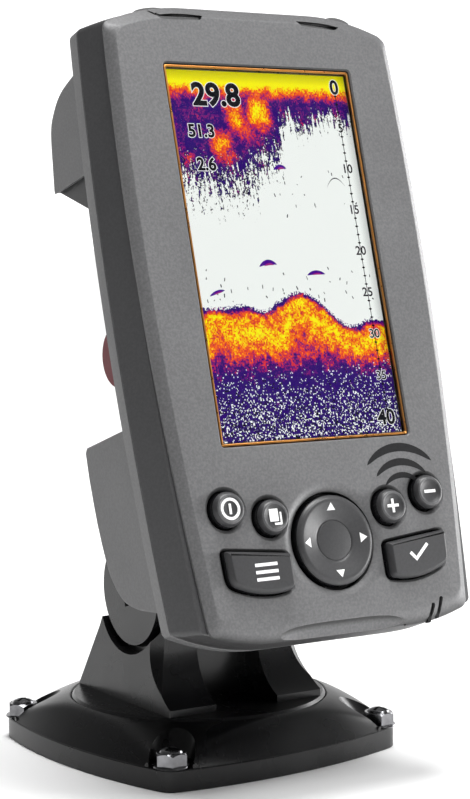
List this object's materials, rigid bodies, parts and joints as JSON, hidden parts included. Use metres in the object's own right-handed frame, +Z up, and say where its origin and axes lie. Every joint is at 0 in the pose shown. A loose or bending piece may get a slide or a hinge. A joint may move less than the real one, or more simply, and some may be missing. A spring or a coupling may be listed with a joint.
{
  "type": "fish finder",
  "caption": "Portrait fish finder: keyed sonar display head with rear sockets, held by a bracket with a sprung release lever on a tilting, swivelling screw-down base.",
  "frame": {"origin": "on the swivel axis at the underside of the base plate, centre of the deck screw circle", "axes": "+X to the right of someone facing the screen, +Y away from them towards the back of the unit, +Z up. The base plate is turned 5.5 degrees about +Z under the head"},
  "size_m": [0.0952, 0.1147, 0.1964],
  "materials": {
    "bezel_grey": "fine metallic grey paint, satin",
    "band_grey": "dark grey moulded plastic, matte",
    "case_grey": "mid grey moulded plastic, satin",
    "mount_black": "gloss black moulded plastic",
    "key_grey": "charcoal moulded key caps, satin",
    "soft_black": "moulded rubber, matte",
    "mat_grey": "moulded silicone",
    "lever_red": "red moulded plastic, satin",
    "steel": "plain steel",
    "deck_screw_steel": "bright plated steel",
    "contact_brass": "plain brass",
    "trim_copper": "copper coloured rim",
    "window": "clear hard-coated window",
    "picture": "lit colour picture",
    "board_green": "green solder mask",
    "part_black": "black moulded component",
    "part_blue": "sleeved can",
    "acetal": "natural acetal",
    "flex_amber": "amber film"
  },
  "bodies": {
    "base": {"base_plate": "mount_black", "base_pad": "soft_black", "base_screws": "deck_screw_steel", "swivel_ring": "acetal"},
    "yoke": {"yoke": "mount_black", "swivel_washer": "steel", "swivel_screw": "steel", "tilt_washers": "acetal"},
    "head": {"bracket": "mount_black", "bracket_pads": "soft_black", "tilt_bolt": "steel", "tilt_nut": "steel", "lever_pin": "steel", "lever_spring": "steel", "rear_case": "case_grey", "socket_panel": "mount_black", "power_socket": "mount_black", "sonar_socket": "mount_black", "socket_pins": "contact_brass", "case_screws": "steel", "case_seal": "soft_black", "mid_frame": "band_grey", "front_bezel": "bezel_grey", "bezel_inlays": "band_grey", "display_trim": "trim_copper", "display_window": "window", "lcd_panel": "picture", "lcd_frame": "steel", "lcd_flex": "flex_amber", "keypad_mat": "mat_grey", "key_switches": "steel", "main_board": "board_green", "board_standoffs": "contact_brass", "board_shield": "steel", "sonar_transformer": "part_black", "capacitors": "part_blue", "buzzer": "part_black"},
    "power_key": {"power_key": "key_grey"},
    "pages_key": {"pages_key": "key_grey"},
    "plus_key": {"plus_key": "key_grey"},
    "minus_key": {"minus_key": "key_grey"},
    "menu_key": {"menu_key": "key_grey"},
    "enter_key": {"enter_key": "key_grey"},
    "pad_pivot": {"pad_pivot": "steel"},
    "direction_pad": {"direction_pad": "key_grey"},
    "release_lever": {"release_lever": "lever_red"}
  },
  "joints": [
    {"name": "swivel", "type": "hinge", "parent": "base", "child": "yoke", "pos_m": [0, 0, 0.0102], "axis": [0, 0, 1], "continuous": true},
    {"name": "tilt", "type": "hinge", "parent": "yoke", "child": "head", "pos_m": [0, 0, 0.044], "axis": [1, 0, 0], "range_deg": [-60, 20]},
    {"name": "lever_pull", "type": "hinge", "parent": "head", "child": "release_lever", "pos_m": [0, -0.00948, 0.098], "axis": [-1, 0, 0], "range_deg": [0, 25], "stiffness_Nm_per_rad": 0.15, "springref_deg": -20.05},
    {"name": "power_press", "type": "slide", "parent": "head", "child": "power_key", "axis": [0, 0.9613, -0.2756], "range_m": [0, 0.0008], "stiffness_N_per_m": 500, "springref_m": -0.0012},
    {"name": "pages_press", "type": "slide", "parent": "head", "child": "pages_key", "axis": [0, 0.9613, -0.2756], "range_m": [0, 0.0008], "stiffness_N_per_m": 500, "springref_m": -0.0012},
    {"name": "plus_press", "type": "slide", "parent": "head", "child": "plus_key", "axis": [0, 0.9613, -0.2756], "range_m": [0, 0.0008], "stiffness_N_per_m": 500, "springref_m": -0.0012},
    {"name": "minus_press", "type": "slide", "parent": "head", "child": "minus_key", "axis": [0, 0.9613, -0.2756], "range_m": [0, 0.0008], "stiffness_N_per_m": 500, "springref_m": -0.0012},
    {"name": "menu_press", "type": "slide", "parent": "head", "child": "menu_key", "axis": [0, 0.9613, -0.2756], "range_m": [0, 0.0008], "stiffness_N_per_m": 500, "springref_m": -0.0012},
    {"name": "enter_press", "type": "slide", "parent": "head", "child": "enter_key", "axis": [0, 0.9613, -0.2756], "range_m": [0, 0.0008], "stiffness_N_per_m": 500, "springref_m": -0.0012},
    {"name": "pad_rock_up_down", "type": "hinge", "parent": "head", "child": "pad_pivot", "pos_m": [0, -0.05995, 0.06275], "axis": [1, 0, 0], "range_deg": [-2.5, 2.5], "stiffness_Nm_per_rad": 0.6},
    {"name": "pad_rock_left_right", "type": "hinge", "parent": "pad_pivot", "child": "direction_pad", "pos_m": [0, -0.05995, 0.06275], "axis": [0, 0.2756, 0.9613], "range_deg": [-2.5, 2.5], "stiffness_Nm_per_rad": 0.6}
  ]
}
